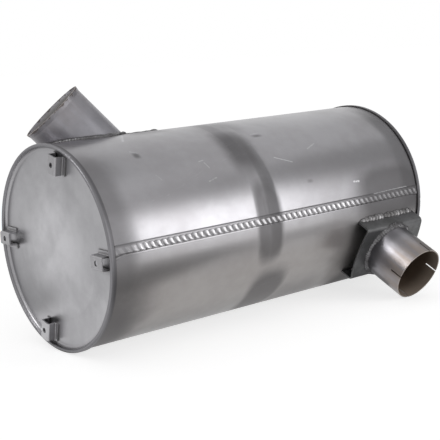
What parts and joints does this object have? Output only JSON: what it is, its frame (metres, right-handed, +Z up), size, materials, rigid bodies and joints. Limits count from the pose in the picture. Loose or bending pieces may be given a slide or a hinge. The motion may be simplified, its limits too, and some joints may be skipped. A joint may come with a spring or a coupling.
{
  "type": "exhaust muffler",
  "caption": "Round drum exhaust muffler with a stitched lock seam, a slotted outlet stub in a folded saddle and a leaning inlet stub.",
  "frame": {"origin": "on the drum's axis, in the plane of the faces of the four brackets on the near end cap", "axes": "+X along the drum, away from the brackets; +Z up as the muffler lies on its rims and its outlet stub; the outlet stub points towards -Y and down"},
  "size_m": [0.717, 0.438, 0.4283],
  "materials": {
    "aluminised_shell": "satin aluminised sheet with soft scuffs and a few scratches",
    "cap_sheet": "satin pressed sheet",
    "bracket_sheet": "dull folded strip",
    "saddle_plate": "dark mill scale with a scuffed bend",
    "outlet_tube": "bare drawn tube with faint brown streaks",
    "inlet_tube": "dull tube, rusty at its mouth",
    "weld_metal": "rippled weld bead",
    "inner_sheet": "plain sheet, hidden inside"
  },
  "bodies": {
    "root": {"shell": "aluminised_shell", "front_head": "cap_sheet", "rear_head": "cap_sheet", "bracket_upper": "bracket_sheet", "bracket_front": "bracket_sheet", "bracket_lower": "bracket_sheet", "bracket_back": "bracket_sheet", "outlet_saddle": "saddle_plate", "outlet_pipe": "outlet_tube", "outlet_weld": "weld_metal", "saddle_weld_upper": "weld_metal", "saddle_weld_lower": "weld_metal", "inlet_pipe": "inlet_tube", "inlet_weld": "weld_metal", "baffle_front": "inner_sheet", "baffle_middle": "inner_sheet", "baffle_rear": "inner_sheet", "transfer_tube_upper": "inner_sheet", "transfer_tube_front": "inner_sheet", "transfer_tube_back": "inner_sheet", "outlet_seat": "inner_sheet"}
  },
  "joints": []
}
